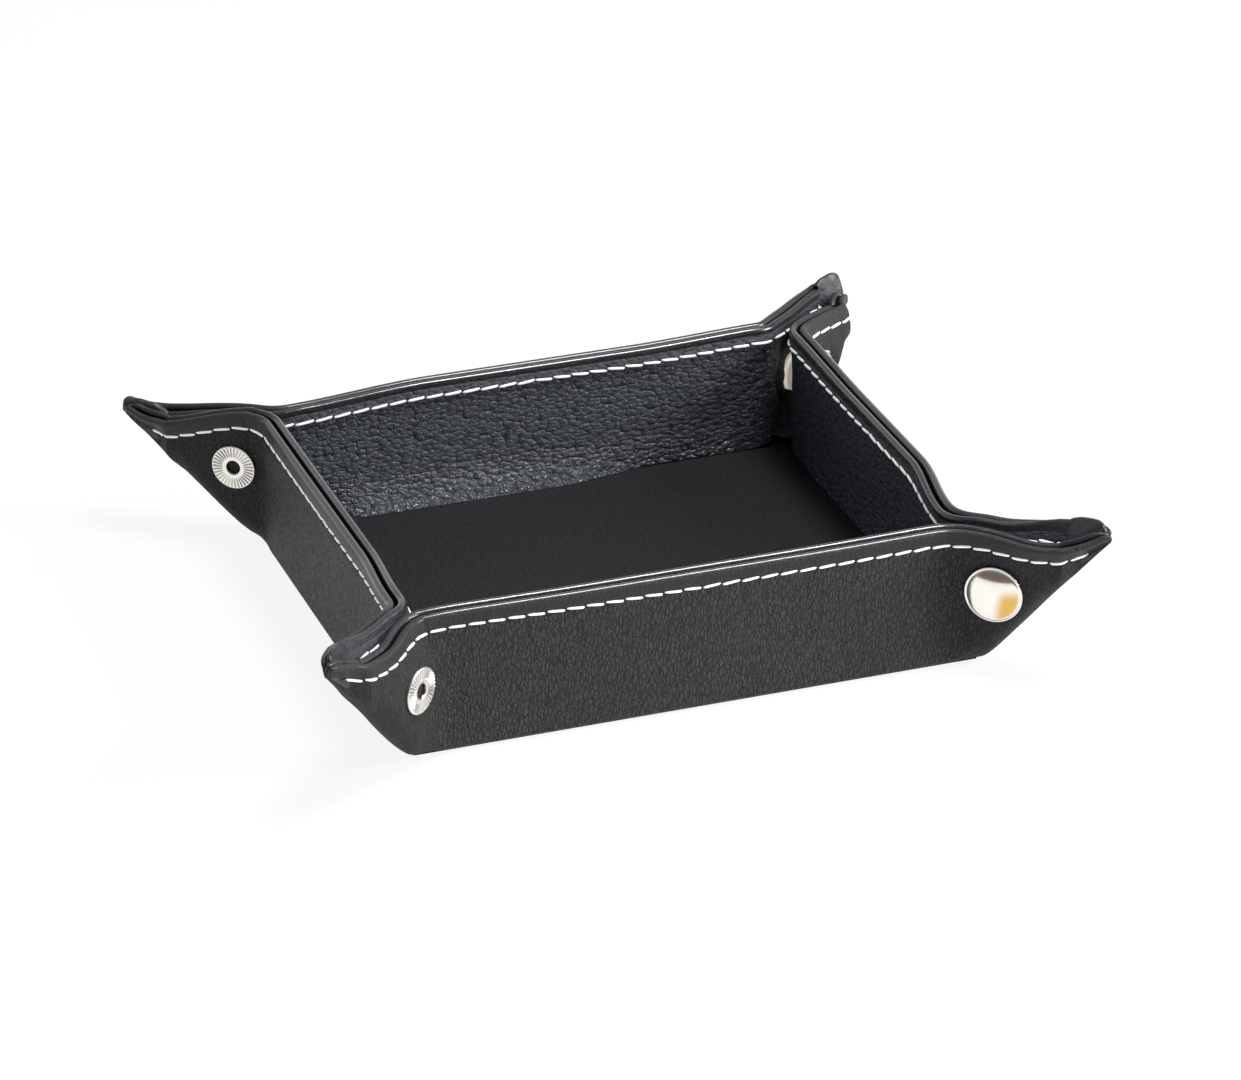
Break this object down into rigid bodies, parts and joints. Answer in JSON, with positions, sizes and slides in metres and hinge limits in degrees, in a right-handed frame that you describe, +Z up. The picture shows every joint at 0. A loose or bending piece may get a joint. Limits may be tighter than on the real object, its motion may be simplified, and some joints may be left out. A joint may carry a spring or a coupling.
{
  "type": "valet tray",
  "caption": "Shallow rectangular leather tray with stitched rim whose corners are pinched into ears by snaps; unsnapped, its walls fold flat.",
  "frame": {"origin": "middle of the underside of the base", "axes": "+Z up; +X along the front wall, to the right seen from the front; the front wall faces -Y"},
  "size_m": [0.176, 0.1502, 0.0315],
  "materials": {
    "cover_leather": "black pebbled grain, satin",
    "lining_leather": "black pebbled grain, satin",
    "stiffener": "grey board",
    "thread": "white twisted thread",
    "cap_metal": "polished nickel plate",
    "snap_metal": "nickel plate"
  },
  "bodies": {
    "base": {"base_cover": "cover_leather", "base_board": "stiffener", "base_lining": "lining_leather"},
    "front_wall": {"front_cover": "cover_leather", "front_lining": "lining_leather", "front_board": "stiffener", "front_stitching": "thread"},
    "right_wall": {"right_cover": "cover_leather", "right_lining": "lining_leather", "right_board": "stiffener", "right_stitching": "thread"},
    "back_wall": {"back_cover": "cover_leather", "back_lining": "lining_leather", "back_board": "stiffener", "back_stitching": "thread"},
    "left_wall": {"left_cover": "cover_leather", "left_lining": "lining_leather", "left_board": "stiffener", "left_stitching": "thread"},
    "front_right_ear": {"front_right_ear_cover": "cover_leather", "front_right_ear_lining": "lining_leather", "front_right_ear_stitching": "thread", "front_right_snap_cap": "cap_metal", "front_right_snap_socket": "snap_metal"},
    "right_front_ear": {"right_front_ear_cover": "cover_leather", "right_front_ear_lining": "lining_leather", "right_front_ear_stitching": "thread", "front_right_snap_stud": "snap_metal", "front_right_snap_post": "snap_metal"},
    "right_back_ear": {"right_back_ear_cover": "cover_leather", "right_back_ear_lining": "lining_leather", "right_back_ear_stitching": "thread", "back_right_snap_cap": "cap_metal", "back_right_snap_socket": "snap_metal"},
    "back_right_ear": {"back_right_ear_cover": "cover_leather", "back_right_ear_lining": "lining_leather", "back_right_ear_stitching": "thread", "back_right_snap_stud": "snap_metal", "back_right_snap_post": "snap_metal"},
    "back_left_ear": {"back_left_ear_cover": "cover_leather", "back_left_ear_lining": "lining_leather", "back_left_ear_stitching": "thread", "back_left_snap_cap": "cap_metal", "back_left_snap_socket": "snap_metal"},
    "left_back_ear": {"left_back_ear_cover": "cover_leather", "left_back_ear_lining": "lining_leather", "left_back_ear_stitching": "thread", "back_left_snap_stud": "snap_metal", "back_left_snap_post": "snap_metal"},
    "left_front_ear": {"left_front_ear_cover": "cover_leather", "left_front_ear_lining": "lining_leather", "left_front_ear_stitching": "thread", "front_left_snap_cap": "cap_metal", "front_left_snap_socket": "snap_metal"},
    "front_left_ear": {"front_left_ear_cover": "cover_leather", "front_left_ear_lining": "lining_leather", "front_left_ear_stitching": "thread", "front_left_snap_stud": "snap_metal", "front_left_snap_post": "snap_metal"}
  },
  "joints": [
    {"name": "front_fold", "type": "hinge", "parent": "base", "child": "front_wall", "pos_m": [0, -0.05317, 0.00083], "axis": [1, 0, 0], "range_deg": [0, 90]},
    {"name": "front_right_ear_fold", "type": "hinge", "parent": "front_wall", "child": "front_right_ear", "pos_m": [0.05585, -0.054, 0], "axis": [0, 0, 1], "range_deg": [0, 39]},
    {"name": "front_left_ear_fold", "type": "hinge", "parent": "front_wall", "child": "front_left_ear", "pos_m": [-0.05585, -0.054, 0], "axis": [0, 0, -1], "range_deg": [0, 39]},
    {"name": "right_fold", "type": "hinge", "parent": "base", "child": "right_wall", "pos_m": [0.06217, 0, 0.00083], "axis": [0, 1, 0], "range_deg": [0, 90]},
    {"name": "right_back_ear_fold", "type": "hinge", "parent": "right_wall", "child": "right_back_ear", "pos_m": [0.063, 0.04821, 0], "axis": [0, 0, 1], "range_deg": [0, 51]},
    {"name": "right_front_ear_fold", "type": "hinge", "parent": "right_wall", "child": "right_front_ear", "pos_m": [0.063, -0.04821, 0], "axis": [0, 0, -1], "range_deg": [0, 51]},
    {"name": "back_fold", "type": "hinge", "parent": "base", "child": "back_wall", "pos_m": [0, 0.05317, 0.00083], "axis": [-1, 0, 0], "range_deg": [0, 90]},
    {"name": "back_left_ear_fold", "type": "hinge", "parent": "back_wall", "child": "back_left_ear", "pos_m": [-0.05585, 0.054, 0], "axis": [0, 0, 1], "range_deg": [0, 39]},
    {"name": "back_right_ear_fold", "type": "hinge", "parent": "back_wall", "child": "back_right_ear", "pos_m": [0.05585, 0.054, 0], "axis": [0, 0, -1], "range_deg": [0, 39]},
    {"name": "left_fold", "type": "hinge", "parent": "base", "child": "left_wall", "pos_m": [-0.06217, 0, 0.00083], "axis": [0, -1, 0], "range_deg": [0, 90]},
    {"name": "left_front_ear_fold", "type": "hinge", "parent": "left_wall", "child": "left_front_ear", "pos_m": [-0.063, -0.04821, 0], "axis": [0, 0, 1], "range_deg": [0, 51]},
    {"name": "left_back_ear_fold", "type": "hinge", "parent": "left_wall", "child": "left_back_ear", "pos_m": [-0.063, 0.04821, 0], "axis": [0, 0, -1], "range_deg": [0, 51]}
  ],
  "couplings": [
    {"joint": "front_right_ear_fold", "follows": "front_fold", "ratio": 0.43333},
    {"joint": "front_left_ear_fold", "follows": "front_fold", "ratio": 0.43333},
    {"joint": "right_fold", "follows": "front_fold", "ratio": 1},
    {"joint": "right_back_ear_fold", "follows": "front_fold", "ratio": 0.56667},
    {"joint": "right_front_ear_fold", "follows": "front_fold", "ratio": 0.56667},
    {"joint": "back_fold", "follows": "front_fold", "ratio": 1},
    {"joint": "back_left_ear_fold", "follows": "front_fold", "ratio": 0.43333},
    {"joint": "back_right_ear_fold", "follows": "front_fold", "ratio": 0.43333},
    {"joint": "left_fold", "follows": "front_fold", "ratio": 1},
    {"joint": "left_front_ear_fold", "follows": "front_fold", "ratio": 0.56667},
    {"joint": "left_back_ear_fold", "follows": "front_fold", "ratio": 0.56667}
  ]
}
